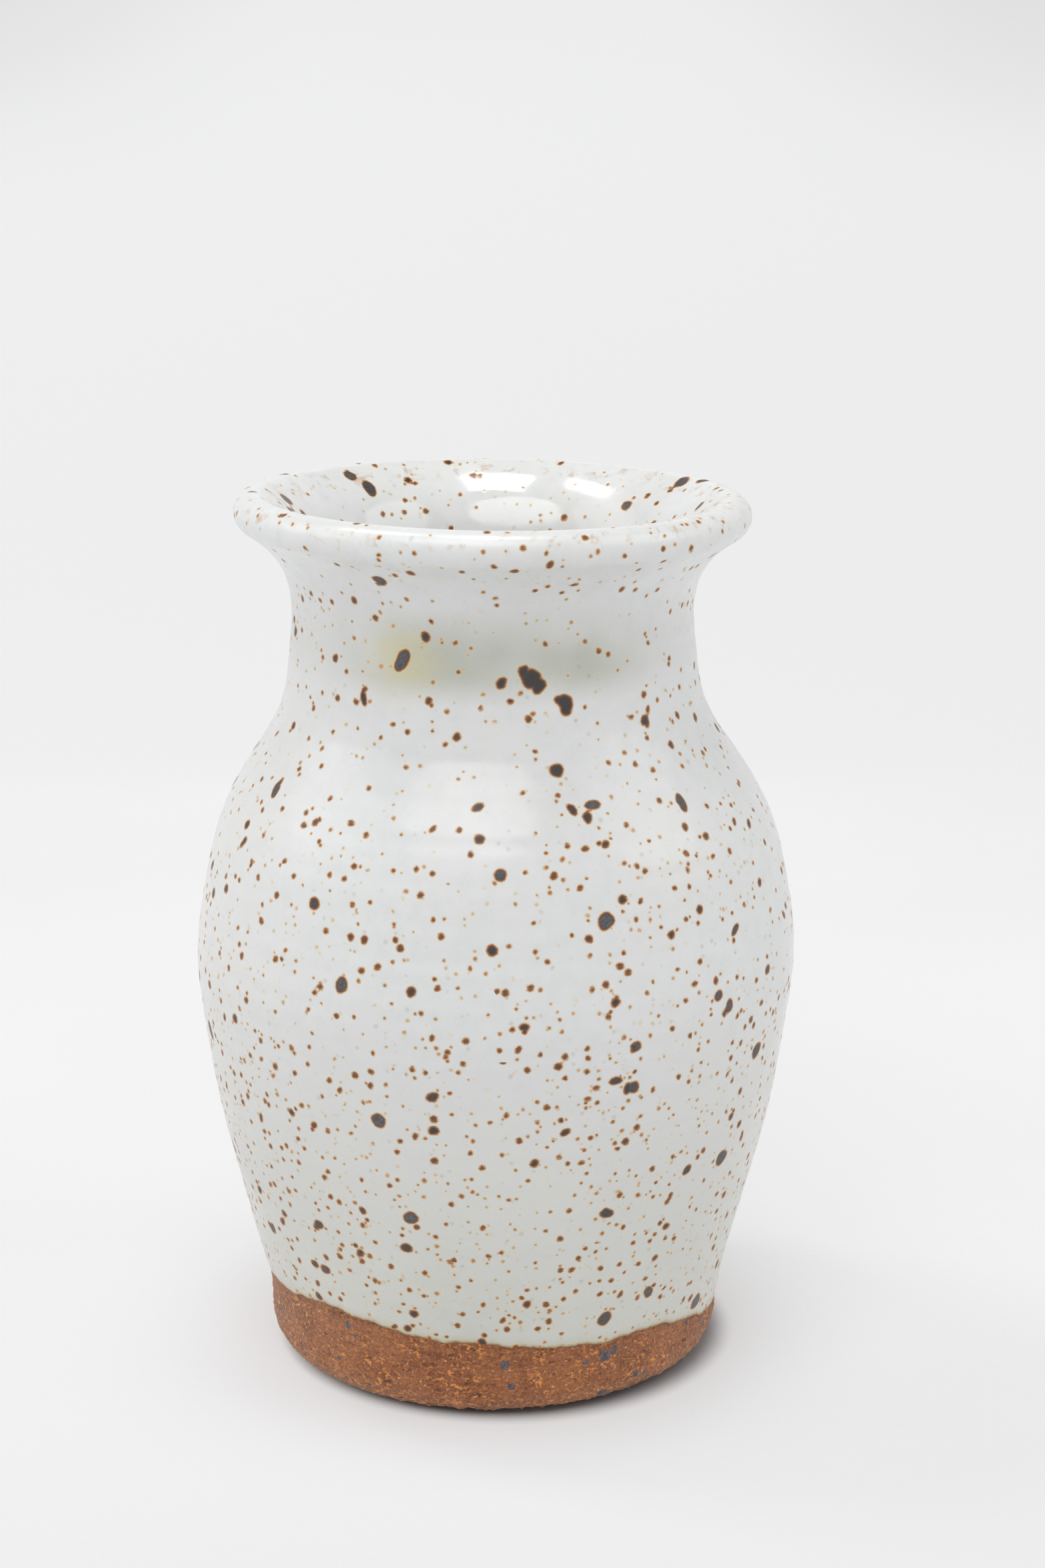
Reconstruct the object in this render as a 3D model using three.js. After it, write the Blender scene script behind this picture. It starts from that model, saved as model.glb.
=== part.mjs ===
// A bud vase thrown on the wheel in speckled stoneware: a low round belly, a short wide neck and a
// rolled lip. One off-white glaze coat covers the clay inside and out, from the floor of the inside
// over the lip and down to a wavy line above the bare clay foot.
// Millimetres, +Z up. The origin is the centre of the foot ring, on the surface that the vase stands on.
import * as THREE from 'three';

// Driving dimensions, in mm. Heights are above the foot ring and radii are from the vase's axis.
const HEIGHT = 115;                                // to the top of the glazed lip
const LIP_CENTRE_RADIUS = 30.8;                    // radius of the ring that the lip is rolled around
const LIP_ROUND = 2.45;                            // radius of the glazed lip's round edge
const LIP_LEAN = THREE.MathUtils.degToRad(58);     // lean of the neck where it runs into the lip
const WALL = 2 * LIP_ROUND;                        // glazed wall, which ends in the lip's round edge
const GLAZE_THICKNESS = 0.4;
const GLAZE_CLEARANCE = 0.3;                       // between the glaze coat and the clay under it
const CLAY_INSET = GLAZE_THICKNESS + GLAZE_CLEARANCE;
const FLOOR_HEIGHT = 7.2;                          // top of the glaze on the inside's floor
const FLOOR_BEND_HEIGHT = 17;                      // where the inside starts to bend into its floor
const FOOT_EDGE_ROUND = 4.5;                       // worn round edge between the foot's side and ring
const FOOT_RING_WIDTH = 5;                         // flat ring that the vase stands on
const FOOT_RECESS_DEPTH = 2.2;                     // shallow trimmed hollow inside the foot ring
const FOOT_RECESS_BEND = 3;                        // run of the curve from the ring into the hollow
const GLAZE_LINE_HEIGHT = 9.5;                     // mean height of the glaze's lower edge
const SHARED_RINGS_START = 25;                     // above it, clay and glaze turn at the same heights
const SEGMENTS = 48;                               // flat faces around the axis

// Outside of the glazed wall, as [height, radius], from the foot's side up to the neck
const WALL_POINTS = [
  [4.5, 30.8],
  [9, 31.0],
  [16, 32.4],
  [25, 34.7],
  [35, 37.0],
  [45, 38.5],
  [55, 39.4],
  [65, 38.1],
  [73, 36.0],
  [80, 32.3],
  [87, 28.0],
  [95, 26.4],
  [104, 26.6],
];
const lipHeight = HEIGHT - LIP_ROUND;
const neckTop = lipHeight - LIP_ROUND * Math.sin(LIP_LEAN);
const neckTopRadius = LIP_CENTRE_RADIUS + LIP_ROUND * Math.cos(LIP_LEAN);
const glazedWall = splineThrough([...WALL_POINTS, [neckTop, neckTopRadius]], Math.tan(LIP_LEAN));
const flareStart = WALL_POINTS[WALL_POINTS.length - 1][0];
const sharedHeights = [
  ...evenSteps(SHARED_RINGS_START, flareStart, 13),
  ...evenSteps(flareStart, neckTop, 2).slice(1),
];

// A cubic spline through [height, radius] points, straight at its lower end and with a set slope
// (radius per height) at its upper end. The result gives the radius and the slope at a height.
function splineThrough(points, endSlope) {
  const last = points.length - 1;
  const heights = points.map((point) => point[0]);
  const radii = points.map((point) => point[1]);
  const gaps = heights.slice(1).map((height, i) => height - heights[i]);
  const slopes = radii.slice(1).map((radius, i) => (radius - radii[i]) / gaps[i]);
  const carried = [0];
  const bends = [0];
  for (let i = 1; i <= last; i += 1) {
    const gapAfter = i < last ? gaps[i] : 0;
    const slopeAfter = i < last ? slopes[i] : endSlope;
    const pivot = 2 * (gaps[i - 1] + gapAfter) - gaps[i - 1] * carried[i - 1];
    carried.push(gapAfter / pivot);
    bends.push((6 * (slopeAfter - slopes[i - 1]) - gaps[i - 1] * bends[i - 1]) / pivot);
  }
  for (let i = last - 1; i > 0; i -= 1) {
    bends[i] -= carried[i] * bends[i + 1];
  }
  return (height) => {
    const above = heights.findIndex((value, i) => i > 0 && height <= value);
    const i = (above < 0 ? last : above) - 1;
    const a = (heights[i + 1] - height) / gaps[i];
    const b = 1 - a;
    const bulge = (a ** 3 - a) * bends[i] + (b ** 3 - b) * bends[i + 1];
    const turn = (1 - 3 * a ** 2) * bends[i] + (3 * b ** 2 - 1) * bends[i + 1];
    return {
      radius: a * radii[i] + b * radii[i + 1] + bulge * gaps[i] ** 2 / 6,
      slope: slopes[i] + turn * gaps[i] / 6,
    };
  };
}

// A point in the wall's section (x is the radius, y is the height), a depth below the glazed outside
function wallPoint(height, depth) {
  const { radius, slope } = glazedWall(height);
  const length = Math.hypot(1, slope);
  return new THREE.Vector2(radius - depth / length, height + depth * slope / length);
}

// Even steps from one number to another, both included
function evenSteps(from, to, count) {
  return Array.from({ length: count + 1 }, (_, i) => from + (to - from) * i / count);
}

// Height of the glaze's lower edge at an angle around the vase, from the front (-Y) towards +X
function glazeLine(angle) {
  const tilt = 3 * Math.cos(angle + 0.93);
  const waves = 0.45 * Math.cos(5 * angle + 3) + 0.35 * Math.cos(8 * angle - 0.16);
  return GLAZE_LINE_HEIGHT + tilt + waves;
}

// The section of a surface that lies an inset below the glazed one: up the outside of the wall from
// the heights given, round the lip, down the inside and across the floor to the axis
function insetSection(inset, outsideHeights) {
  const outside = outsideHeights.map((height) => wallPoint(height, inset));
  const lipAngles = [
    ...evenSteps(-LIP_LEAN, Math.PI / 2, 6),
    ...evenSteps(Math.PI / 2, Math.PI - LIP_LEAN, 2).slice(1),
  ];
  const lip = lipAngles.slice(1, -1).map((angle) => new THREE.Vector2(
    LIP_CENTRE_RADIUS + (LIP_ROUND - inset) * Math.cos(angle),
    lipHeight + (LIP_ROUND - inset) * Math.sin(angle),
  ));
  const insideHeights = [FLOOR_BEND_HEIGHT, ...sharedHeights].reverse();
  const inside = insideHeights.map((height) => wallPoint(height, WALL - inset));
  const bendStart = inside[inside.length - 1];
  const floor = FLOOR_HEIGHT - inset;
  const fall = bendStart.y - floor;
  const corner = new THREE.Vector2(bendStart.x - glazedWall(FLOOR_BEND_HEIGHT).slope * fall, floor);
  const bendEnd = new THREE.Vector2(corner.x - bendStart.distanceTo(corner), floor);
  const bend = new THREE.QuadraticBezierCurve(bendStart, corner, bendEnd).getPoints(4).slice(1);
  return [...outside, ...lip, ...inside, ...bend, new THREE.Vector2(0, floor)];
}

// The clay: foot ring with its trimmed hollow, wall, lip and floor, turned as one closed body
function clayGeometry() {
  const footSide = wallPoint(FOOT_EDGE_ROUND, CLAY_INSET);
  const ringOuter = footSide.x - FOOT_EDGE_ROUND;
  const ringInner = ringOuter - FOOT_RING_WIDTH;
  const hollowEdge = new THREE.Vector2(ringInner - FOOT_RECESS_BEND, FOOT_RECESS_DEPTH);
  const hollowCorner = new THREE.Vector2(ringInner, FOOT_RECESS_DEPTH);
  const ringEdge = new THREE.Vector2(ringInner, 0);
  const underside = new THREE.QuadraticBezierCurve(hollowEdge, hollowCorner, ringEdge).getPoints(4);
  const edge = evenSteps(-Math.PI / 2, 0, 4).slice(0, -1).map((angle) => new THREE.Vector2(
    ringOuter + FOOT_EDGE_ROUND * Math.cos(angle),
    FOOT_EDGE_ROUND + FOOT_EDGE_ROUND * Math.sin(angle),
  ));
  const outsideHeights = [
    ...evenSteps(FOOT_EDGE_ROUND, SHARED_RINGS_START, 4).slice(0, -1),
    ...sharedHeights,
  ];
  const profile = [
    new THREE.Vector2(0, FOOT_RECESS_DEPTH),
    ...underside,
    ...edge,
    ...insetSection(CLAY_INSET, outsideHeights),
  ];
  return new THREE.LatheGeometry(profile, SEGMENTS);
}

// The glaze: a thin skin with the same section all round, apart from its wavy lower edge
function glazeGeometry() {
  const sectionAt = (angle) => {
    const outsideHeights = [
      ...evenSteps(glazeLine(angle), SHARED_RINGS_START, 3).slice(0, -1),
      ...sharedHeights,
    ];
    const underside = insetSection(GLAZE_THICKNESS, outsideHeights).reverse();
    return [...underside, ...insetSection(0, outsideHeights)];
  };
  const geometry = new THREE.LatheGeometry(sectionAt(0), SEGMENTS);
  const position = geometry.getAttribute('position');
  for (let turn = 0; turn <= SEGMENTS; turn += 1) {
    const angle = (turn % SEGMENTS) * 2 * Math.PI / SEGMENTS;
    const section = sectionAt(angle);
    section.forEach(({ x: radius, y: height }, i) => {
      const index = turn * section.length + i;
      position.setXYZ(index, radius * Math.sin(angle), height, radius * Math.cos(angle));
    });
  }
  geometry.computeVertexNormals();
  return geometry;
}

// A turned geometry is made about Y, so it is stood up about +Z
function standUp(name, geometry, material) {
  geometry.rotateX(Math.PI / 2);
  const mesh = new THREE.Mesh(geometry, material);
  mesh.name = name;
  return mesh;
}

const clay = new THREE.MeshStandardMaterial({ color: 0x9c5a34, roughness: 0.92, metalness: 0 });
const glaze = new THREE.MeshStandardMaterial({ color: 0xe2e3df, roughness: 0.28, metalness: 0 });

const vase = new THREE.Group();
vase.add(standUp('clay_body', clayGeometry(), clay));
vase.add(standUp('glaze_coat', glazeGeometry(), glaze));

export default vase;
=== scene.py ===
"""A hand-thrown stoneware bud vase: bare gritty clay foot, speckled off-white glaze inside and out.

Shapes are worked out in millimetres around the vase's axis and turned into metres when a mesh is
made. Angles around the vase are measured from the front (-Y) towards +X.
"""

import math

import bpy
import numpy as np
from mathutils import Euler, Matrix, Vector, kdtree, noise


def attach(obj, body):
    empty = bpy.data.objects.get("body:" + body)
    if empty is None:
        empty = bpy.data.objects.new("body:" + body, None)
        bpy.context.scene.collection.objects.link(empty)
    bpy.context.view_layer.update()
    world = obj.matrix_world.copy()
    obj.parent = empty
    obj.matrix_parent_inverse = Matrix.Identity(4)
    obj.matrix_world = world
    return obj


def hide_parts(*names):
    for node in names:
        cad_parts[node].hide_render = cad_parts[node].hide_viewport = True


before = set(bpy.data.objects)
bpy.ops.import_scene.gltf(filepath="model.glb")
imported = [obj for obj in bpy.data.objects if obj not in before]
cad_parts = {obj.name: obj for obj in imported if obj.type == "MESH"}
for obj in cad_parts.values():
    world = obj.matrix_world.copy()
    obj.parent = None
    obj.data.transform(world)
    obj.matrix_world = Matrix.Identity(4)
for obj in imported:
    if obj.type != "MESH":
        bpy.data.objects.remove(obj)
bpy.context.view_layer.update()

MM = 0.001
rng = np.random.default_rng(20)

# ---------------------------------------------------------------- the vase's section, as in the CAD
HEIGHT = 115.0
LIP_CENTRE_RADIUS = 30.8
LIP_ROUND = 2.45
LIP_LEAN = math.radians(58)
WALL = 2 * LIP_ROUND
CLAY_INSET = 0.7
FLOOR_HEIGHT = 7.2
FLOOR_BEND_HEIGHT = 17.0
FOOT_EDGE_ROUND = 4.5
FOOT_RING_WIDTH = 5.0
FOOT_RECESS_DEPTH = 2.2
FOOT_RECESS_BEND = 3.0
WALL_POINTS = [
    (4.5, 30.8), (9, 31.0), (16, 32.4), (25, 34.7), (35, 37.0), (45, 38.5), (55, 39.4),
    (65, 38.1), (73, 36.0), (80, 32.3), (87, 28.0), (95, 26.4), (104, 26.6),
]
LIP_HEIGHT = HEIGHT - LIP_ROUND
NECK_TOP = LIP_HEIGHT - LIP_ROUND * math.sin(LIP_LEAN)
NECK_TOP_RADIUS = LIP_CENTRE_RADIUS + LIP_ROUND * math.cos(LIP_LEAN)

SEGMENTS = 512           # around the glaze, closer together at the front
FOOT_SEGMENTS = 600      # around the gritty foot
THROAT_HEIGHT = 98.0     # where the inside glaze piece takes over from the outside one
CLAY_PARTING = 20.0      # where the clay's foot piece ends and its hidden wall begins
RIM_TILT = 0.0115        # the rim's slope down towards +X

SPOT_REACH = 1.6         # a spot reaches this far around its outline and off its own plane
LANDMARK_GAP = 1.2       # clear glaze between chance spots and the marks placed by judgement
NO_SPOT = -3.0           # depth where no spot is near


def spline_through(points, end_slope):
    """A cubic spline through (height, radius) points, straight at its lower end."""
    heights, radii = np.array(points, float).T
    last = len(heights) - 1
    gaps = np.diff(heights)
    slopes = np.diff(radii) / gaps
    system = np.zeros((last + 1, last + 1))
    right = np.zeros(last + 1)
    system[0, 0] = 1
    for i in range(1, last):
        system[i, i - 1:i + 2] = gaps[i - 1], 2 * (gaps[i - 1] + gaps[i]), gaps[i]
        right[i] = 6 * (slopes[i] - slopes[i - 1])
    system[last, last - 1:] = gaps[-1], 2 * gaps[-1]
    right[last] = 6 * (end_slope - slopes[-1])
    bends = np.linalg.solve(system, right)

    def at(height):
        height = np.asarray(height, float)
        i = np.clip(np.searchsorted(heights, height) - 1, 0, last - 1)
        a = (heights[i + 1] - height) / gaps[i]
        b = 1 - a
        bulge = (a ** 3 - a) * bends[i] + (b ** 3 - b) * bends[i + 1]
        turn = (1 - 3 * a ** 2) * bends[i] + (3 * b ** 2 - 1) * bends[i + 1]
        radius = a * radii[i] + b * radii[i + 1] + bulge * gaps[i] ** 2 / 6
        return radius, slopes[i] + turn * gaps[i] / 6

    return at


glazed_wall = spline_through(WALL_POINTS + [(NECK_TOP, NECK_TOP_RADIUS)], math.tan(LIP_LEAN))


def wall_at(height, depth):
    """(radius, height) a depth below the glazed outside, square to the wall."""
    radius, slope = glazed_wall(height)
    length = np.hypot(1, slope)
    return np.stack([radius - depth / length, height + depth * slope / length], -1)


def lip_arc(inset, count):
    """The lip's round edge from the outside over to the inside."""
    a = np.linspace(-LIP_LEAN, math.pi - LIP_LEAN, count)
    rho = LIP_ROUND - inset
    return np.stack([LIP_CENTRE_RADIUS + rho * np.cos(a), LIP_HEIGHT + rho * np.sin(a)], -1)


def even(points, spacing):
    """The same line with its points at an even spacing, both ends kept."""
    steps = np.hypot(*np.diff(points, axis=0).T)
    along = np.concatenate([[0], np.cumsum(steps)])
    count = max(2, int(round(along[-1] / spacing)) + 1)
    wanted = np.linspace(0, along[-1], count)
    return np.stack([np.interp(wanted, along, points[:, k]) for k in (0, 1)], -1)


def bezier(start, corner, end, count):
    t = np.linspace(0, 1, count)[:, None]
    return (1 - t) ** 2 * np.array(start) + 2 * t * (1 - t) * np.array(corner) + t ** 2 * np.array(end)


def inside_section(inset, top, spacing):
    """The inside from a wall height down to the axis on the floor."""
    wall = wall_at(np.linspace(top, FLOOR_BEND_HEIGHT, 400), WALL - inset)
    start = wall[-1]
    floor = FLOOR_HEIGHT - inset
    slope = float(glazed_wall(FLOOR_BEND_HEIGHT)[1])
    corner = np.array([start[0] - slope * (start[1] - floor), floor])
    end = np.array([corner[0] - np.hypot(*(start - corner)), floor])
    bend = bezier(start, corner, end, 60)[1:]
    return even(np.concatenate([wall, bend, [[spacing * 0.6, floor]]]), spacing)


def smooth(value, low, high):
    t = np.clip((value - low) / (high - low), 0, 1)
    return t * t * (3 - 2 * t)


def glaze_line(angle):
    """Height of the glaze's lower edge around the vase."""
    height = 8.9 + 3 * np.cos(angle + 0.93)
    for waves, size, phase in (
        (5, 0.45, 3.0), (8, 0.35, -0.16), (17, 0.10, 1.0),
        (29, 0.09, 2.1), (47, 0.07, 0.4), (71, 0.05, 5.0),
    ):
        height = height + size * np.cos(waves * angle + phase)
    return height


def handmade(points):
    """The small unevenness of a pot turned by hand, as a shift of points in millimetres."""
    x, y, z = points[..., 0], points[..., 1], points[..., 2]
    angle = np.arctan2(x, -y)
    wall = smooth(z, 3, 20) * (1 - smooth(z, 106, 114))
    swell = 0.10 * np.cos(3 * angle + z / 21) + 0.07 * np.cos(2 * angle - z / 14 + 1.0)
    rings = 0.022 * np.sin(2 * math.pi * z / 4.1 + angle + 0.9 * np.sin(z / 8))
    rings = rings + 0.012 * np.sin(2 * math.pi * z / 2.3 + angle + 1.3)
    off_axis = smooth(np.hypot(x, y), 2, 14)
    push = (swell * smooth(z, 0, 30) + rings * wall) * off_axis
    belly_lean = 0.36 * np.exp(-((z - 68) / 16) ** 2)
    foot_lean = 0.18 * np.exp(-((z - 8) / 14) ** 2)
    shifted = points.copy()
    shifted[..., 0] += push * np.sin(angle) + belly_lean - foot_lean
    shifted[..., 1] += -push * np.cos(angle) + 0.12 * np.sin(z / 28)
    shifted[..., 2] -= RIM_TILT * x * smooth(z, 92, 113)
    return shifted


def turned(section, angles):
    """Points of a section turned around the axis: rings x angles x 3."""
    if section.ndim == 2:
        section = np.repeat(section[:, None, :], len(angles), axis=1)
    radius, height = section[..., 0], section[..., 1]
    return np.stack([radius * np.sin(angles), -radius * np.cos(angles), height], -1)


def grid_normals(grid):
    """Unit normals of a closed ring grid, out of the surface."""
    around = np.roll(grid, -1, axis=1) - np.roll(grid, 1, axis=1)
    along = np.gradient(grid, axis=0)
    normal = np.cross(around, along)
    return normal / np.maximum(np.linalg.norm(normal, axis=-1, keepdims=True), 1e-12)


def ring_mesh(name, grid, values, normals=None, start_cap=None, end_cap=None):
    """A mesh from rings x segments x 3 points in millimetres, with float values on its points."""
    rings, count = grid.shape[:2]
    points = grid.reshape(-1, 3)
    i, j = np.meshgrid(np.arange(rings - 1), np.arange(count), indexing="ij")
    k = (j + 1) % count
    quads = np.stack([i * count + j, i * count + k, (i + 1) * count + k, (i + 1) * count + j], -1)
    faces = quads.reshape(-1, 4).tolist()
    extra = []
    for cap, ring, flip in ((start_cap, 0, True), (end_cap, rings - 1, False)):
        if cap is None:
            continue
        centre = len(points) + len(extra)
        extra.append(cap)
        base = ring * count
        for a in range(count):
            b = (a + 1) % count
            faces.append([base + b, base + a, centre] if flip else [base + a, base + b, centre])
    if extra:
        points = np.concatenate([points, np.array(extra, float)])
    mesh = bpy.data.meshes.new(name)
    mesh.from_pydata((points * MM).tolist(), [], faces)
    mesh.polygons.foreach_set("use_smooth", np.ones(len(mesh.polygons), bool))
    for key, value in values.items():
        flat = np.zeros(len(points), np.float32)
        flat[:rings * count] = value.reshape(-1)
        ends = ((start_cap, flat[0]), (end_cap, flat[rings * count - 1]))
        flat[rings * count:] = [end_value for cap, end_value in ends if cap is not None]
        mesh.attributes.new(key, "FLOAT", "POINT").data.foreach_set("value", flat)
    mesh.update()
    if normals is not None:
        full = normals.reshape(-1, 3)
        if extra:
            full = np.concatenate([full, np.tile([0.0, 0.0, 1.0], (len(extra), 1))])
        mesh.normals_split_custom_set_from_vertices(full.tolist())
    piece = bpy.data.objects.new(name, mesh)
    bpy.context.scene.collection.objects.link(piece)
    return piece


# ---------------------------------------------------------------- iron spots
# The few marks that catch the eye are placed by judgement, and chance does the rest. Angles in
# degrees and sizes in mm; the tone is 0 for rust brown, 0.5 for black brown and 1 for a dark core under
# painted blue-grey sheen.
NECK_WAIST = 95.0              # height of the neck's narrowest part
NECK_CLUSTER = 10              # angle of the black blots that have run together on the neck
NECK_LOBES = [                 # each lobe's angle and height from there, and its width
    (0, 1, 2.5), (-2, 2, 1.6), (2, 0, 2.0), (-8, 0.5, 1.5), (9, -2, 2.2), (9, -3, 1.6), (7, -1.5, 1.1),
]
STAINED_BLOT = -25             # angle of the neck's blot with a yellow stain around it

# Iron spots per square centimetre at heights on the vase: densest low down, fewest on the neck
SPOT_HEIGHTS = (0, 45, 87, 116)
SPOT_DENSITY = (3.9, 3.7, 2.4, 2.6)
SMALLEST_SPOT = 0.8            # width; the finer specks are in the materials
SPOT_SPREAD = 0.28             # how far widths go beyond the smallest, on average
BLOTCH_SHARE = 0.055           # of the spots, the share that are wide blotches
BLOTCH_WIDTHS = (1.5, 2.4)
FOOT_SPOT_DENSITY = 1.4
FOOT_SPOT_SPREAD = 0.45
FOOT_SPOT_TOP = 13             # no spots are stamped on the clay above this height


class SpotField:
    """Depth inside the nearest spot's outline, and that spot's tone, on every point of a ring grid."""

    def __init__(self, grid, angles, crest):
        self.grid = grid
        self.angles = angles
        self.crest = crest
        self.rings, self.count = grid.shape[:2]
        self.points = grid.reshape(-1, 3)
        self.depth = np.full(len(self.points), NO_SPOT)
        self.tone = np.zeros(len(self.points))
        self.tree = kdtree.KDTree(len(self.points))
        for n, p in enumerate(self.points):
            self.tree.insert(p, n)
        self.tree.balance()
        self.taken = []

    def outside_at(self, angle, height):
        """Ring and column of the outside's point nearest to an angle and a height."""
        column = int(np.argmax(np.cos(self.angles - angle)))
        ring = int(np.argmin(np.abs(self.grid[:self.crest + 1, column, 2] - height)))
        return max(ring, 1), column

    def stamp(self, ring, column, width, stretch, slant, tone, centre=None):
        """One spot with an uneven outline, its long axis at a slant to the horizontal."""
        g = self.grid
        if centre is None:
            centre = g[ring, column]
        across = g[ring, (column + 1) % self.count] - g[ring, column - 1]
        across = across / np.linalg.norm(across)
        along = g[ring + 1, column] - g[ring - 1, column]
        along = along - across * (along @ across)
        along = along / np.linalg.norm(along)
        if ring > self.crest:
            along = -along
        normal = np.cross(across, along)
        c, s = math.cos(slant), math.sin(slant)
        long_axis, short_axis = across * c + along * s, along * c - across * s
        radius = width / 2
        a, b = radius * math.sqrt(stretch), radius / math.sqrt(stretch)
        phases = rng.uniform(0, 2 * math.pi, 4)
        sizes = rng.uniform(0.3, 1.0, 4) * (0.07, 0.06, 0.04, 0.03)
        near = [index for _, index, _ in self.tree.find_range(centre, a * 1.3 + SPOT_REACH)]
        if not near:
            return
        near = np.array(near)
        offset = self.points[near] - centre
        u, v, w = offset @ long_axis, offset @ short_axis, offset @ normal
        keep = np.abs(w) < SPOT_REACH
        near, u, v = near[keep], u[keep], v[keep]
        reach = np.hypot(u, v)
        outline = np.where(reach > 1e-4, reach / np.maximum(np.hypot(u / a, v / b), 1e-6), b)
        turn = np.arctan2(v, u)
        lobes = zip((2, 3, 4, 5), sizes, phases)
        wobble = sum(size * np.cos(count * turn + phase) for count, size, phase in lobes)
        depth = outline * (1 + wobble) - reach
        deeper = depth > self.depth[near]
        self.depth[near[deeper]] = depth[deeper]
        self.tone[near[deeper]] = tone
        self.taken.append((centre, a))

    def clear_of(self, marks, centre, radius):
        """Whether a spot of this radius keeps its distance from all the marks."""
        return all(np.linalg.norm(centre - c) > r + radius + LANDMARK_GAP for c, r in marks)

    def scatter(self, density_at, tone_at, spread):
        """Spots by chance, in proportion to each cell's area and the density at its height."""
        g = self.grid
        cell = np.cross(g[1:, :, :] - g[:-1, :, :], (np.roll(g, -1, axis=1) - g)[:-1])
        area = np.linalg.norm(cell, axis=-1)
        weight = area * density_at(g[:-1, :, 2]) / 100
        expected = weight.sum()
        count = int(round(expected))
        chosen = rng.choice(weight.size, size=count, p=(weight / expected).ravel())
        placed = list(self.taken)
        for pick in chosen:
            ring, column = divmod(int(pick), self.count)
            ring = int(np.clip(ring, 1, self.rings - 2))
            s, t = rng.random(2)
            width = min(SMALLEST_SPOT + rng.exponential(spread), BLOTCH_WIDTHS[1])
            if rng.random() < BLOTCH_SHARE:
                width = rng.uniform(*BLOTCH_WIDTHS)
            stretch = 1 + rng.exponential(0.22)
            slant = rng.uniform(0, math.pi)
            luck = rng.random()
            row, above = g[ring], g[ring + 1]
            centre = row[column] * (1 - s) + row[(column + 1) % self.count] * s
            centre = centre * (1 - t) + above[column] * t
            if not self.clear_of(placed, centre, width / 2):
                continue
            tone = tone_at(width, centre[2], ring > self.crest, luck)
            self.stamp(ring, column, width, stretch, slant, tone, centre)


def glaze_tone(width, height, inside, luck):
    """Small spots are rust brown, wide ones a painted blue-grey sheen with a dark rim; the lip's stay
    brown.
    """
    tone = np.clip((width - 0.9) / 0.8, 0, 1) * (0.55 + 0.45 * luck)
    if height > 109 and not inside:
        tone = tone * 0.3
    elif 90 < height < 100 and not inside:
        tone = min(tone, 0.55)
    return float(tone)


def glaze_spots(grid, angles, crest):
    """The glaze's iron spots: the neck's few marks, then the rest by chance. Also gives the place of
    the stained blot on the grid."""
    spots = SpotField(grid, angles, crest)
    for turn, rise, width in NECK_LOBES:
        ring, column = spots.outside_at(math.radians(NECK_CLUSTER + turn), NECK_WAIST + rise)
        spots.stamp(ring, column, width, 1.2, rng.uniform(0, math.pi), 0.5)
    ring, column = spots.outside_at(math.radians(STAINED_BLOT), NECK_WAIST + 3)
    spots.stamp(ring, column, 2.4, 1.7, math.radians(60), 0.9)
    spots.scatter(lambda z: np.interp(z, SPOT_HEIGHTS, SPOT_DENSITY), glaze_tone, SPOT_SPREAD)
    return spots, grid[ring, column]


# ---------------------------------------------------------------- the glaze's two pieces
LINE_BLEND_TOP = 28.0     # up to here the glaze's rings follow its wavy lower edge
LINE_BLEND_RINGS = 38
FAR_ABOVE_LINE = 40.0     # stands for every height where the edge no longer shows

# Edge of the glaze: sunk into the clay, then a small round shoulder. Distance above the line and
# stand-off from the clay, in mm.
EDGE_THICKNESS = 0.30
EDGE = [(0.05, -0.12), (0.0, 0.03), (0.02, 0.13), (0.08, 0.2), (0.18, 0.26), (0.34, EDGE_THICKNESS)]


def stand_off(above):
    """The glaze's visible outside above the bare clay, which is thin at its edge."""
    return CLAY_INSET - (CLAY_INSET - EDGE_THICKNESS) * np.exp(-(above - EDGE[-1][0]) / 2.4)


def glaze_rings(angles):
    """The glaze's section at every angle, from its wavy edge over the lip to the middle of the floor;
    the height of each point above the edge; and the ring where the inside piece takes over."""
    line = glaze_line(angles)
    rings, rises = [], []
    for above, off in EDGE:
        rings.append(wall_at(line + above, CLAY_INSET - off))
        rises.append(np.full(SEGMENTS, above))
    for n in range(1, LINE_BLEND_RINGS + 1):
        share = (n / LINE_BLEND_RINGS) ** 1.08
        above = EDGE[-1][0] + (LINE_BLEND_TOP - line - EDGE[-1][0]) * share
        rings.append(wall_at(line + above, CLAY_INSET - stand_off(above)))
        rises.append(above)
    upper_wall = even(wall_at(np.linspace(LINE_BLEND_TOP, NECK_TOP, 900), 0.0), 0.45)
    flare_wall = even(wall_at(np.linspace(NECK_TOP, THROAT_HEIGHT, 300), WALL), 0.62)
    outside = [*upper_wall[1:], *lip_arc(0, 23)[1:], *flare_wall[1:]]
    throat = len(rings) + len(outside) - 1
    for point in (*outside, *inside_section(0, THROAT_HEIGHT, 0.82)[1:]):
        rings.append(np.tile(point, (SEGMENTS, 1)))
        rises.append(np.full(SEGMENTS, FAR_ABOVE_LINE))
    return np.array(rings), np.array(rises), throat


def add_finger_ridges(section, angles, crest):
    """The ridges that throwing leaves on the inside, in a rising spiral."""
    radius, height = section[crest + 1:, :, 0], section[crest + 1:, :, 1]
    spiral = np.sin(2 * math.pi * height / 6.2 - angles)
    radius += 0.16 * spiral * (1 - smooth(height, 86, 102)) * smooth(radius, 6, 16)


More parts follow.
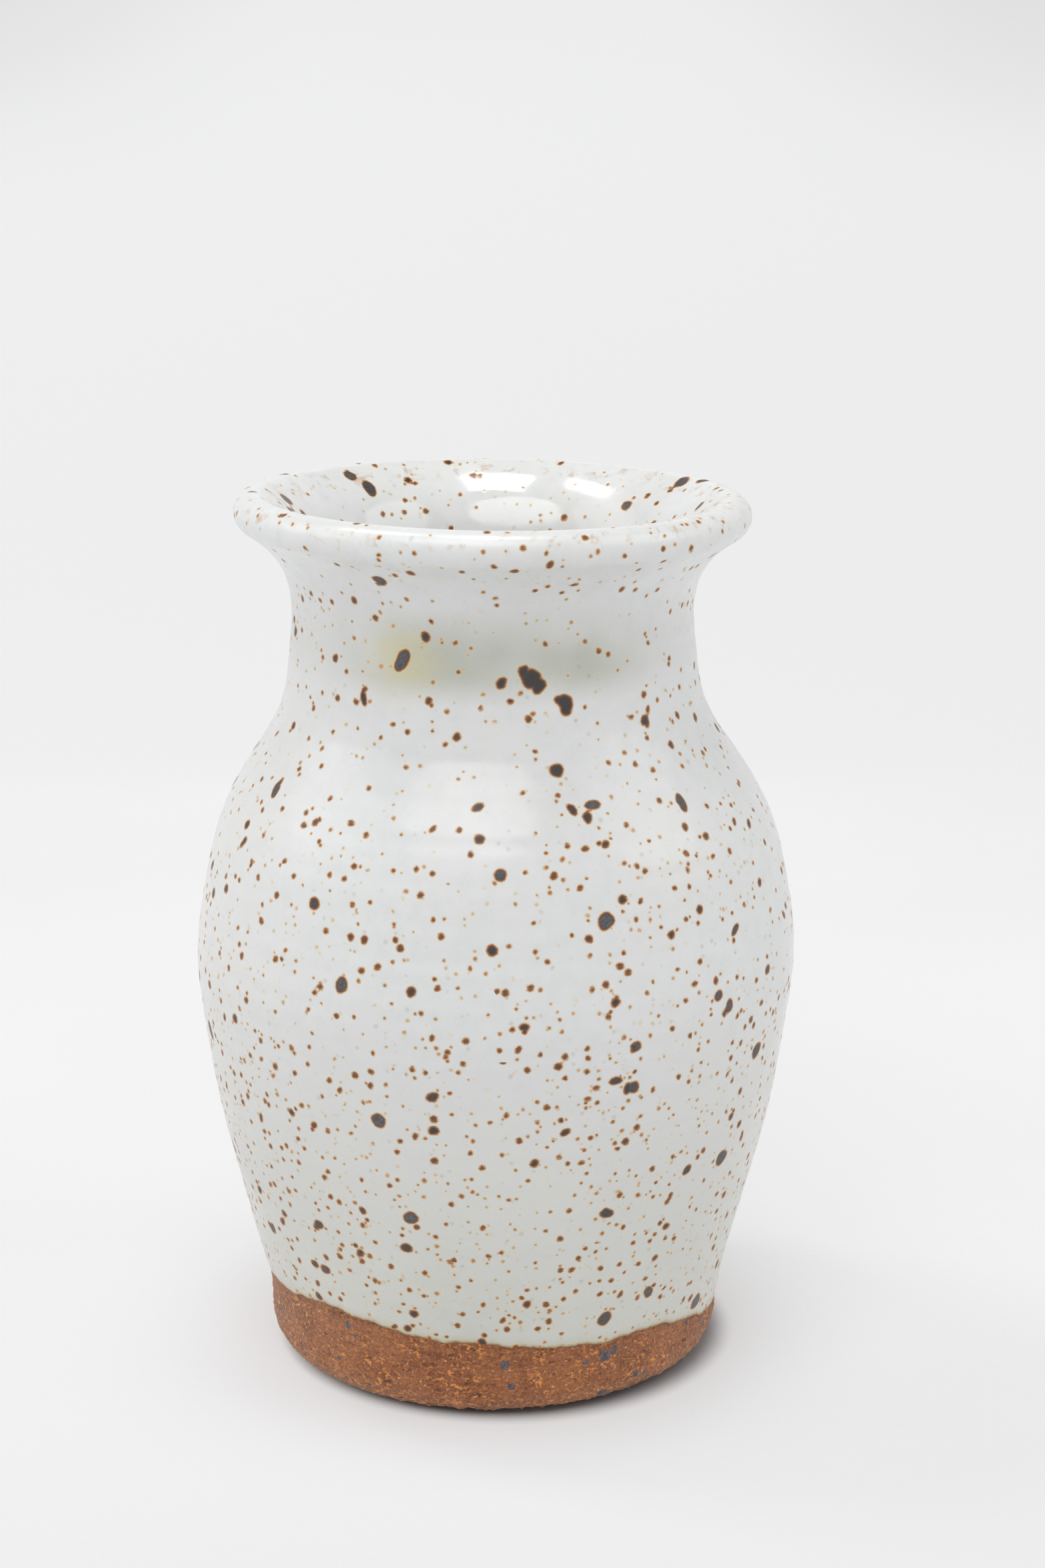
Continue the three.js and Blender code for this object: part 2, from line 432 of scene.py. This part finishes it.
angles = np.arange(SEGMENTS) * 2 * math.pi / SEGMENTS
angles = angles - 0.3 * np.sin(angles)
glaze_section, above_line, throat = glaze_rings(angles)
crest = int(np.argmax(glaze_section[:, 0, 1]))
add_finger_ridges(glaze_section, angles, crest)
glaze_grid = handmade(turned(glaze_section, angles))
glaze_normals = grid_normals(glaze_grid)
spots, stained = glaze_spots(glaze_grid, angles, crest)
inside_share = smooth(np.arange(len(glaze_grid)), crest - 3, crest + 9)
glaze_values = {
    "spot_depth": spots.depth.reshape(above_line.shape),
    "spot_tone": spots.tone.reshape(above_line.shape),
    "above_line": above_line,
    "inside": np.repeat(inside_share[:, None], SEGMENTS, axis=1),
}


def glaze_piece(name, rows, end_cap=None):
    values = {key: value[rows] for key, value in glaze_values.items()}
    return ring_mesh(name, glaze_grid[rows], values, glaze_normals[rows], end_cap=end_cap)


glaze_outside = glaze_piece("glaze_outside", slice(0, throat + 1))
glaze_inside = glaze_piece("glaze_inside", slice(throat, None), end_cap=glaze_grid[-1].mean(axis=0))

# ---------------------------------------------------------------- the clay's two pieces
FOOT_EDGE_HEIGHT = 1.0    # the side rounds in down to a torn edge, trimmed back to the ring below it
GRIT_TOP = 13.6           # the gritty clay reaches this high, a little way under the glaze
PLAIN_RINGS = (15.0, 17.0, CLAY_PARTING)    # heights of the smooth rings above it
WALL_SEGMENTS = 192       # around the hidden wall
GLAZE_COVER = 0.25        # the hidden wall keeps this much further in, so that it never shows


def foot_outline():
    """The foot's outside: from the hollow inside the ring, over the ring and its torn edge, to the side."""
    ring_outer = wall_at(FOOT_EDGE_ROUND, CLAY_INSET)[0] - FOOT_EDGE_ROUND
    ring_inner = ring_outer - FOOT_RING_WIDTH
    hollow_edge = ring_inner - FOOT_RECESS_BEND
    hollow = np.array([[0.8, FOOT_RECESS_DEPTH], [hollow_edge, FOOT_RECESS_DEPTH]])
    bend = bezier((hollow_edge, FOOT_RECESS_DEPTH), (ring_inner, FOOT_RECESS_DEPTH), (ring_inner, 0), 50)
    ring = np.array([[ring_inner, 0], [ring_outer, 0]])
    turn = np.linspace(math.asin(FOOT_EDGE_HEIGHT / FOOT_EDGE_ROUND - 1), 0, 60)
    reach = FOOT_EDGE_ROUND * math.cos(turn[0])
    undercut = [(0, 0), (0.12, 0.3), (0.9, 0.5), (reach - 0.5, 0.7), (reach, FOOT_EDGE_HEIGHT)]
    undercut = np.array([(ring_outer + step, height) for step, height in undercut])
    side = np.stack([ring_outer + FOOT_EDGE_ROUND * np.cos(turn), FOOT_EDGE_ROUND * (1 + np.sin(turn))], -1)
    return np.concatenate([
        even(hollow, 0.8)[:-1],
        even(bend, 0.4)[:-1],
        even(ring, 0.5)[:-1],
        even(undercut, 0.3)[:-1],
        even(side, 0.27)[:-1],
        even(wall_at(np.linspace(FOOT_EDGE_ROUND, GRIT_TOP, 80), CLAY_INSET), 0.28),
        wall_at(np.array(PLAIN_RINGS), CLAY_INSET),
    ])


def grit(points):
    """Relief of the bare clay in mm: dragged grains, torn hollows and a few standing grains."""
    relief = np.empty(len(points))
    for n, (x, y, z) in enumerate(points):
        around = Vector((x, y, z * 1.4))
        coarse = noise.noise(around * 0.32)
        middle = noise.noise(around * 0.95 + Vector((7, 3, 1)))
        fine = noise.noise(around * 2.1 + Vector((2, 9, 5)))
        grain = noise.voronoi(around * 0.85)[0][0]
        relief[n] = 0.05 * coarse + 0.06 * middle + 0.085 * fine + 0.15 * max(0.0, 0.36 - grain) / 0.36
        relief[n] -= 0.2 * max(0.0, -middle - 0.3)
    return relief


def foot_relief(grid, angles):
    """Relief of the foot in mm: grit, rougher at the torn edge, and the rings left by trimming."""
    height = grid[..., 2]
    off_ring = smooth(height, 0.0, 0.7)
    trim = 0.05 * np.sin(2 * math.pi * height / 1.35 + 0.7 * np.sin(3 * angles))
    torn = 1 + 1.1 * np.exp(-((height - FOOT_EDGE_HEIGHT) / 0.55) ** 2)
    return grit(grid.reshape(-1, 3)).reshape(height.shape) * (0.2 + 0.8 * off_ring) * torn + trim * off_ring


def clay_foot_piece():
    """The foot, closed by a dish that lies hidden under the glaze's floor."""
    foot_angles = np.arange(FOOT_SEGMENTS) * 2 * math.pi / FOOT_SEGMENTS
    outline = foot_outline()
    section = np.concatenate([
        outline,
        wall_at(np.array([CLAY_PARTING]), WALL - CLAY_INSET),
        inside_section(CLAY_INSET, CLAY_PARTING - 0.5, 2.4),
    ])
    grid = handmade(turned(section, foot_angles))
    gritty = slice(0, len(outline) - len(PLAIN_RINGS))
    relief = np.zeros(grid.shape[:2])
    relief[gritty] = foot_relief(grid[gritty], foot_angles)
    grid += grid_normals(grid) * relief[..., None]
    grid[..., 2] = np.maximum(grid[..., 2], 0.0)
    iron = SpotField(grid, foot_angles, len(outline) - 1)
    iron.scatter(
        lambda z: np.where(z < FOOT_SPOT_TOP, FOOT_SPOT_DENSITY, 0), lambda *chance: 1.0, FOOT_SPOT_SPREAD)
    values = {"spot_depth": iron.depth.reshape(relief.shape), "relief": relief}
    under_centre = (0.0, 0.0, FOOT_RECESS_DEPTH)
    dish_centre = (0.0, 0.0, FLOOR_HEIGHT - CLAY_INSET)
    return ring_mesh("clay_foot", grid, values, start_cap=under_centre, end_cap=dish_centre)


def clay_wall_piece():
    """The wall and lip, hidden between the glaze's outside and inside."""
    wall_angles = np.arange(WALL_SEGMENTS) * 2 * math.pi / WALL_SEGMENTS
    hidden = CLAY_INSET + GLAZE_COVER
    section = np.concatenate([
        even(wall_at(np.linspace(CLAY_PARTING, NECK_TOP, 300), hidden), 2.2)[:-1],
        lip_arc(hidden, 9)[:-1],
        even(wall_at(np.linspace(NECK_TOP, CLAY_PARTING, 300), WALL - hidden), 2.2),
    ])
    grid = handmade(turned(np.concatenate([section, section[:1]]), wall_angles))
    return ring_mesh("clay_wall", grid, {"spot_depth": np.full(grid.shape[:2], NO_SPOT)})


clay_foot = clay_foot_piece()
clay_wall = clay_wall_piece()


# ---------------------------------------------------------------- materials
def rgb(red, green, blue):
    """An sRGB colour of 0 to 255 as scene-linear RGBA."""
    def linear(value):
        value = value / 255
        return value / 12.92 if value <= 0.04045 else ((value + 0.055) / 1.055) ** 2.4
    return (linear(red), linear(green), linear(blue), 1.0)


class Graph:
    """Short calls that build one material's nodes."""

    def __init__(self, name):
        self.material = bpy.data.materials.new(name)
        self.material.use_nodes = True
        self.tree = self.material.node_tree
        self.tree.nodes.clear()

    def add(self, kind, inputs=None, **settings):
        node = self.tree.nodes.new("ShaderNode" + kind)
        for key, value in settings.items():
            setattr(node, key, value)
        for key, value in (inputs or {}).items():
            if isinstance(value, bpy.types.NodeSocket):
                self.tree.links.new(value, node.inputs[key])
            else:
                node.inputs[key].default_value = value
        return node

    def math(self, operation, *values, clamp=False):
        node = self.add("Math", dict(enumerate(values)), operation=operation, use_clamp=clamp)
        return node.outputs[0]

    def span(self, value, low, high, to_low=0.0, to_high=1.0, smoothly=True):
        """value from low..high to to_low..to_high, held at the ends."""
        node = self.add("MapRange", {0: value, 1: low, 2: high, 3: to_low, 4: to_high}, clamp=True)
        node.interpolation_type = "SMOOTHSTEP" if smoothly else "LINEAR"
        return node.outputs[0]

    def mix(self, share, first, second, blend="MIX"):
        node = self.add("Mix", {0: share, 6: first, 7: second}, data_type="RGBA", blend_type=blend)
        return node.outputs[2]

    def noise(self, where, size_mm, detail=2.0, roughness=0.5, distortion=0.0):
        node = self.add("TexNoise", {
            "Vector": where, "Scale": 1 / (size_mm * MM), "Detail": detail, "Roughness": roughness,
            "Distortion": distortion,
        })
        return node.outputs[0]

    def place(self):
        return self.add("TexCoord").outputs["Object"]

    def value(self, name):
        return self.add("Attribute", attribute_name=name).outputs["Fac"]

    def ramp(self, value, stops):
        node = self.add("ValToRGB", {0: value})
        elements = node.color_ramp.elements
        while len(elements) < len(stops):
            elements.new(0.5)
        for element, (position, colour, alpha) in zip(elements, stops):
            element.position = position
            element.color = (*colour[:3], alpha)
        return node.outputs[0], node.outputs[1]

    def shifted(self, where, size_mm, reach_mm):
        """where, pushed about by noise, so that round cells get uneven edges."""
        node = self.add("TexNoise", {"Vector": where, "Scale": 1 / (size_mm * MM), "Detail": 1.0})
        centred = self.add("VectorMath", {0: node.outputs[1], 1: (0.5, 0.5, 0.5)}, operation="SUBTRACT")
        reach = {0: centred.outputs[0], "Scale": 2 * reach_mm * MM}
        scaled = self.add("VectorMath", reach, operation="SCALE")
        return self.add("VectorMath", {0: where, 1: scaled.outputs[0]}, operation="ADD").outputs[0]

    def specks(self, where, cell_mm, small_mm, large_mm, share):
        """Depth in mm inside round specks of chance radius, in a share of the cells; and the luck."""
        cells = self.add("TexVoronoi", {"Vector": where, "Scale": 1 / (cell_mm * MM)})
        luck = self.add("SeparateColor", {0: cells.outputs["Color"]})
        distance = self.math("MULTIPLY", cells.outputs["Distance"], cell_mm)
        radius = self.span(luck.outputs[1], 0.0, 1.0, small_mm, large_mm, smoothly=False)
        depth = self.math("SUBTRACT", radius, distance)
        missing = self.math("GREATER_THAN", luck.outputs[0], share)
        return self.math("MULTIPLY_ADD", missing, -5.0, depth), luck.outputs[2]

    def finish(self, shader):
        self.add("OutputMaterial", {0: shader})
        return self.material


def glaze_material():
    g = Graph("speckled_glaze")
    where = g.place()
    height = g.math("MULTIPLY", g.add("SeparateXYZ", {0: where}).outputs[2], 1 / MM)
    above = g.value("above_line")

    # White that turns cooler towards the mouth and greener and greyer towards the foot: a tint of the
    # glaze, with painted shade in the darkening low down
    cloud = g.noise(where, 22, 2.0)
    mottle = g.noise(where, 2.6, 3.0, 0.6)
    body = g.mix(g.span(height, 92, 114), rgb(222, 223, 222), rgb(226, 227, 226))
    body = g.mix(g.span(height, 62, 8), body, rgb(203, 203, 195))
    body = g.mix(g.span(cloud, 0.35, 0.7, 0.0, 0.35), body, rgb(220, 220, 213))
    body = g.mix(g.span(mottle, 0.35, 0.75, 0.0, 0.35), body, rgb(210, 213, 212))

    # Painted dark reflection: a grey-green darker band in the neck's hollow, strongest near the middle of
    # the front and back
    sideways = g.math("ABSOLUTE", g.add("SeparateXYZ", {0: where}).outputs[0])
    neck_painted_reflection = g.math("MULTIPLY", g.span(height, 92, 97), g.span(height, 106, 98.5))
    neck_painted_reflection = g.math("MULTIPLY", neck_painted_reflection, g.span(sideways, 0.010, 0.023, 1.0, 0.15))
    neck_painted_reflection = g.math("MULTIPLY", neck_painted_reflection, g.span(g.noise(where, 17, 2.0), 0.36, 0.6, 0.5, 1.0))
    body = g.mix(neck_painted_reflection, body, rgb(187, 188, 176))

    # Faint iron ghosts deep in the glaze
    wander = g.shifted(where, 0.9, 0.18)
    ghost, _ = g.specks(wander, 1.25, 0.12, 0.42, g.span(height, 95, 20, 0.35, 0.9))
    body = g.mix(g.span(ghost, -0.08, 0.3, 0.0, 0.34), body, rgb(158, 154, 122))

    # The yellow stain that has bled around one blot on the neck
    stain = g.add("VectorMath", {0: where, 1: tuple(stained * MM)}, operation="DISTANCE").outputs["Value"]
    stain = g.span(stain, 0.0075, 0.0005, 0.0, 0.55)
    stain = g.math("MULTIPLY", stain, g.span(g.noise(where, 3.5, 2.0), 0.3, 0.65, 0.25, 1.0))
    body = g.mix(stain, body, rgb(214, 203, 150))

    # Thin glaze on the lip's crown lets some rust through
    lip = g.math("MULTIPLY", g.span(height, 112.4, 113.6), g.span(height, 115.2, 114.2))
    streak = g.span(g.noise(g.shifted(where, 3.0, 1.0), 1.9, 3.0, 0.6), 0.52, 0.72, 0.0, 0.6)
    body = g.mix(g.math("MULTIPLY", lip, streak), body, rgb(192, 158, 118))

    # The glaze's thin edge over the bare clay
    edge_noise = g.span(g.noise(where, 0.9, 2.0), 0.2, 0.8, -0.22, 0.22, smoothly=False)
    edge = g.math("ADD", above, edge_noise)
    edge_colour, edge_cover = g.ramp(g.span(edge, -0.1, 1.9, 0.0, 1.0, smoothly=False), [
        (0.0, rgb(118, 72, 38), 1.0), (0.12, rgb(146, 104, 62), 1.0), (0.24, rgb(176, 152, 108), 0.85),
        (0.42, rgb(196, 190, 160), 0.5), (1.0, rgb(204, 206, 190), 0.0),
    ])
    body = g.mix(edge_cover, body, edge_colour)

    # Iron spots: amber halo, brown rim, and a dark core in the wide ones, with painted blue-grey sheen
    rough_edge = g.span(g.noise(where, 0.42, 2.0), 0.25, 0.75, -0.04, 0.04, smoothly=False)
    common = g.span(height, 95, 25, 0.32, 0.78)
    middling, _ = g.specks(wander, 1.55, 0.2, 0.43, common)
    tiny, _ = g.specks(g.shifted(where, 0.6, 0.08), 1.25, 0.08, 0.22, g.math("MULTIPLY", common, 0.75))
    depth = g.math("MAXIMUM", g.value("spot_depth"), g.math("MAXIMUM", middling, tiny))
    depth = g.math("ADD", depth, rough_edge)
    spot_colour, spot_cover = g.ramp(g.span(depth, -0.22, 0.52, 0.0, 1.0, smoothly=False), [
        (0.0, rgb(230, 214, 166), 0.0), (0.15, rgb(222, 196, 130), 0.26), (0.28, rgb(200, 146, 72), 0.68),
        (0.42, rgb(160, 100, 40), 0.95), (0.57, rgb(108, 62, 24), 1.0), (0.75, rgb(58, 41, 27), 1.0),
        (0.94, rgb(44, 39, 36), 1.0),
    ])
    tone = g.value("spot_tone")
    rust = g.math("MULTIPLY", g.span(depth, 0.1, 0.28), g.span(tone, 0.35, 0.05, 0.0, 0.6))
    spot_colour = g.mix(rust, spot_colour, rgb(122, 74, 32))
    # Painted sheen: the wide spots' dark cores get lighter blue-grey flecks, standing for light glinting
    # off their crystals
    painted_sheen_flecks = g.span(g.noise(where, 0.3, 3.0, 0.7), 0.35, 0.68)
    painted_sheen_colour = g.mix(painted_sheen_flecks, rgb(58, 55, 57), rgb(94, 95, 100))
    painted_sheen_share = g.math("MULTIPLY", g.span(depth, 0.2, 0.4), g.span(tone, 0.5, 0.95))
    spot_colour = g.mix(painted_sheen_share, spot_colour, painted_sheen_colour)
    colour = g.mix(spot_cover, body, spot_colour)

    # Smooth gloss, a little duller on the iron, over a faintly dimpled surface
    gloss = g.span(g.noise(where, 6.0, 3.0), 0.3, 0.7, 0.22, 0.34)
    gloss = g.math("MULTIPLY_ADD", g.value("inside"), -0.15, gloss)
    gloss = g.math("MULTIPLY_ADD", spot_cover, 0.14, gloss)
    gloss = g.math("MULTIPLY_ADD", g.span(edge_cover, 0.4, 1.0), 0.2, gloss)
    dimples = g.math("MULTIPLY", g.noise(where, 2.4, 2.0), 0.016)
    dimples = g.math("MULTIPLY_ADD", g.noise(where, 0.5, 2.0), 0.0022, dimples)
    dimples = g.math("MULTIPLY_ADD", spot_cover, -0.012, dimples)
    pinhole, _ = g.specks(where, 3.4, 0.05, 0.13, 0.5)
    dimples = g.math("MULTIPLY_ADD", g.span(pinhole, -0.03, 0.06), -0.02, dimples)
    bump = g.add("Bump", {"Strength": 1.0, "Distance": MM, "Height": dimples})
    return g.finish(g.add("BsdfPrincipled", {
        "Base Color": colour, "Roughness": gloss, "IOR": 1.56, "Specular IOR Level": 0.65,
        "Normal": bump.outputs[0],
    }).outputs[0])


def clay_material():
    g = Graph("bare_clay")
    where = g.place()
    height = g.math("MULTIPLY", g.add("SeparateXYZ", {0: where}).outputs[2], 1 / MM)
    drag = g.add("VectorMath", {0: where, 1: (1, 1, 1.35)}, operation="MULTIPLY").outputs[0]
    relief = g.value("relief")

    colour = g.mix(g.span(g.noise(drag, 5.0, 3.0), 0.35, 0.66), rgb(124, 72, 45), rgb(160, 102, 66))
    colour = g.mix(g.span(g.noise(drag, 1.3, 3.0, 0.6), 0.35, 0.68), colour, rgb(152, 92, 58))
    low = g.span(height, 6.0, 1.5, 0.0, 0.85)
    flecks = g.span(g.noise(drag, 0.6, 3.0, 0.6), 0.52, 0.62)
    patches = g.span(g.noise(where, 3.6, 3.0, 0.6), 0.46, 0.62, 0.35, 1.0)
    flecks = g.math("MULTIPLY", flecks, g.math("MAXIMUM", patches, low))
    colour = g.mix(g.math("MULTIPLY", flecks, 0.9), colour, rgb(232, 154, 80))
    grain, luck = g.specks(g.shifted(where, 0.5, 0.1), 0.55, 0.05, 0.2, 0.6)
    grain_colour, _ = g.ramp(luck, [
        (0.0, rgb(66, 42, 32), 1.0), (0.42, rgb(112, 58, 30), 1.0), (0.75, rgb(204, 122, 58), 1.0),
        (0.95, rgb(232, 192, 148), 1.0),
    ])
    colour = g.mix(g.span(grain, -0.02, 0.05, 0.0, 0.8), colour, grain_colour)
    fine = g.noise(where, 0.26, 2.0, 0.6)
    colour = g.mix(g.span(fine, 0.54, 0.7, 0.0, 0.6), colour, rgb(84, 48, 30))
    colour = g.mix(g.span(fine, 0.44, 0.3, 0.0, 0.5), colour, rgb(206, 146, 98))
    # Painted shade: darker in the relief's torn hollows
    colour = g.mix(g.span(relief, -0.05, -0.17, 0.0, 0.7), colour, rgb(66, 38, 24))
    colour = g.mix(g.span(relief, 0.08, 0.2, 0.0, 0.4), colour, rgb(206, 134, 76))

    wander = g.shifted(where, 0.6, 0.22)
    iron, _ = g.specks(wander, 3.4, 0.2, 0.75, 0.5)
    iron = g.math("MAXIMUM", g.value("spot_depth"), iron)
    iron = g.math("ADD", iron, g.span(fine, 0.3, 0.7, -0.1, 0.1, smoothly=False))
    metal = g.mix(g.span(g.noise(where, 0.4, 2.0), 0.35, 0.65), rgb(58, 56, 62), rgb(96, 96, 106))
    colour = g.mix(g.span(iron, 0.0, 0.26, 0.0, 0.92), colour, metal)

    dull = g.span(fine, 0.3, 0.7, 0.82, 0.96)
    dull = g.math("MULTIPLY_ADD", g.span(iron, 0.05, 0.3), -0.25, dull)
    rise = g.math("MULTIPLY", g.noise(drag, 0.7, 4.0, 0.7), 0.22)
    rise = g.math("MULTIPLY_ADD", fine, -0.09, rise)
    rise = g.math("MULTIPLY_ADD", g.span(grain, -0.02, 0.1), 0.04, rise)
    bump = g.add("Bump", {"Strength": 1.0, "Distance": MM, "Height": rise})
    return g.finish(g.add("BsdfPrincipled", {
        "Base Color": colour, "Roughness": dull, "IOR": 1.45, "Normal": bump.outputs[0],
        "Sheen Weight": 0.3, "Sheen Roughness": 0.5, "Sheen Tint": (1.0, 0.88, 0.76, 1.0),
    }).outputs[0])


PAPER_PAINTED_GLOW = 0.42          # painted light: the paper glows by itself, with no lamp behind it


def paper_material():
    g = Graph("matt_paper")
    where = g.place()
    tint = g.mix(g.span(g.noise(where, 90, 3.0), 0.3, 0.7), rgb(177, 177, 178), rgb(174, 174, 175))
    place = g.add("SeparateXYZ", {0: where})
    behind = place.outputs[1]
    # Painted light and shade on the paper: darker towards the camera, a little darker at the fold, lighter
    # further back and darker again towards the far upright's sides
    tint = g.mix(g.span(behind, 0.02, -0.08), tint, rgb(166, 166, 167))
    tint = g.mix(g.span(behind, 0.285, 0.32), tint, rgb(171, 171, 172))
    tint = g.mix(g.span(behind, 0.35, 1.1), tint, rgb(194, 194, 195))
    sideways = g.span(g.math("ABSOLUTE", place.outputs[0]), 0.08, 0.26)
    corner = g.math("MULTIPLY", sideways, g.span(behind, 0.7, 1.05))
    tint = g.mix(corner, tint, rgb(176, 176, 177))
    under = g.add("VectorMath", {0: where, 1: (0.0015, 0.0, 0.0)}, operation="DISTANCE").outputs["Value"]
    # Painted shadow: the paper's glow fades out under the foot
    painted_glow = g.span(under, 0.0272, 0.0314, 0.0, PAPER_PAINTED_GLOW)
    bump = g.add("Bump", {"Strength": 0.4, "Distance": 0.0002, "Height": g.noise(where, 1.4, 3.0)})
    return g.finish(g.add("BsdfPrincipled", {
        "Base Color": tint, "Roughness": 0.85, "Specular IOR Level": 0.2, "Normal": bump.outputs[0],
        "Emission Color": (1.0, 1.0, 1.0, 1.0), "Emission Strength": painted_glow,
    }).outputs[0])


glaze = glaze_material()
clay = clay_material()
for piece, node, slot, material in (
    (glaze_outside, "glaze_coat", "glaze", glaze),
    (glaze_inside, "glaze_coat", "glaze", glaze),
    (clay_foot, "clay_body", "clay", clay),
    (clay_wall, "clay_body", "clay", clay),
):
    piece.data.materials.append(material)
    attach(piece, "root")
    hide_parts(node)

# ---------------------------------------------------------------- studio
FLOOR_FOLD = 0.30          # behind the vase, where the paper starts to climb gently
FOLD_SLOPE = math.tan(math.radians(13))
PAPER_REACH = 1.6          # from the vase to the upright paper on every side
PAPER_BEND = 0.5
PAPER_TOP = 1.1
PAPER_DROP = 0.00002       # the paper lies this far under the foot ring


def sweep_line(floor_stops):
    """Half a section of the paper: along the floor, round the bend and up."""
    flat = [(stop, 0.0) for stop in floor_stops]
    bend = [
        (PAPER_REACH - PAPER_BEND * (1 - math.sin(turn)), PAPER_BEND * (1 - math.cos(turn)))
        for turn in np.linspace(0, math.pi / 2, 13)
    ]
    return flat + bend + [(PAPER_REACH, PAPER_TOP)]


def climb(y):
    """The gentle climb behind the vase, with a soft fold at its start."""
    start = 0.5 * ((y - FLOOR_FOLD) + math.hypot(y - FLOOR_FOLD, 0.012))
    return FOLD_SLOPE * start if y > 0 else 0.0


def paper_sweep():
    """The table and backdrop: one sheet that bends up on every side."""
    side_line = sweep_line([0.0, 0.15, 0.4, 0.8])
    back_line = sweep_line([0.0, 0.12, 0.22, *np.linspace(0.26, 0.36, 11), 0.45, 0.7, 0.9])
    across = [(-x, z) for x, z in side_line[:0:-1]] + side_line
    depth = [(-y, z) for y, z in side_line[:0:-1]] + back_line
    points = [(x, y, zx + zy + climb(y) - PAPER_DROP) for y, zy in depth for x, zx in across]
    width = len(across)
    faces = [
        (i * width + j, i * width + j + 1, (i + 1) * width + j + 1, (i + 1) * width + j)
        for i in range(len(depth) - 1) for j in range(width - 1)
    ]
    mesh = bpy.data.meshes.new("paper_sweep")
    mesh.from_pydata(points, [], faces)
    mesh.polygons.foreach_set("use_smooth", np.ones(len(faces), bool))
    mesh.materials.append(paper_material())
    sheet = bpy.data.objects.new("paper_sweep", mesh)
    bpy.context.scene.collection.objects.link(sheet)
    return sheet


paper = paper_sweep()


def soft_light(name, place, aim, size, power, shape="RECTANGLE"):
    data = bpy.data.lights.new(name, "AREA")
    data.shape = shape
    data.size, data.size_y = size
    data.energy = power
    lamp = bpy.data.objects.new(name, data)
    lamp.location = place
    lamp.rotation_euler = (Vector(aim) - Vector(place)).to_track_quat("-Z", "Y").to_euler()
    bpy.context.scene.collection.objects.link(lamp)


soft_light("window_left", (-0.50, 0.22, 1.17), (0, 0, 0.06), (0.20, 0.30), 2.0)
soft_light("window_right", (0.00, -0.02, 1.30), (0, 0, 0.06), (0.38, 0.38), 3.2)
soft_light("key", (-0.25, -0.82, 1.26), (0, 0, 0.06), (1.3, 0.9), 7.0, "ELLIPSE")
soft_light("side_right", (0.95, -0.20, 0.80), (0, 0, 0.06), (0.9, 0.9), 2.3, "ELLIPSE")
soft_light("side_left", (-0.95, 0.00, 0.80), (0, 0, 0.06), (0.9, 0.9), 1.9, "ELLIPSE")

world = bpy.data.worlds.new("studio")
bpy.context.scene.world = world
world.use_nodes = True
world.node_tree.nodes["Background"].inputs["Color"].default_value = (0.97, 0.98, 1.0, 1.0)
world.node_tree.nodes["Background"].inputs["Strength"].default_value = 0.34
bpy.context.scene.view_settings.view_transform = "Standard"

# ---------------------------------------------------------------- camera
CAMERA_PLACE = (0.0, -0.377, 0.1717)
CAMERA_TILT = math.radians(75.81)      # up from straight down
CAMERA_TURN = math.radians(-0.57)
FOCAL_LENGTH = 68                      # in mm

lens = bpy.data.cameras.new("camera")
lens.lens = FOCAL_LENGTH
lens.sensor_width = 36
lens.clip_start, lens.clip_end = 0.02, 20
camera = bpy.data.objects.new("camera", lens)
camera.location = CAMERA_PLACE
camera.rotation_euler = Euler((CAMERA_TILT, 0, CAMERA_TURN))
bpy.context.scene.collection.objects.link(camera)
bpy.context.scene.camera = camera
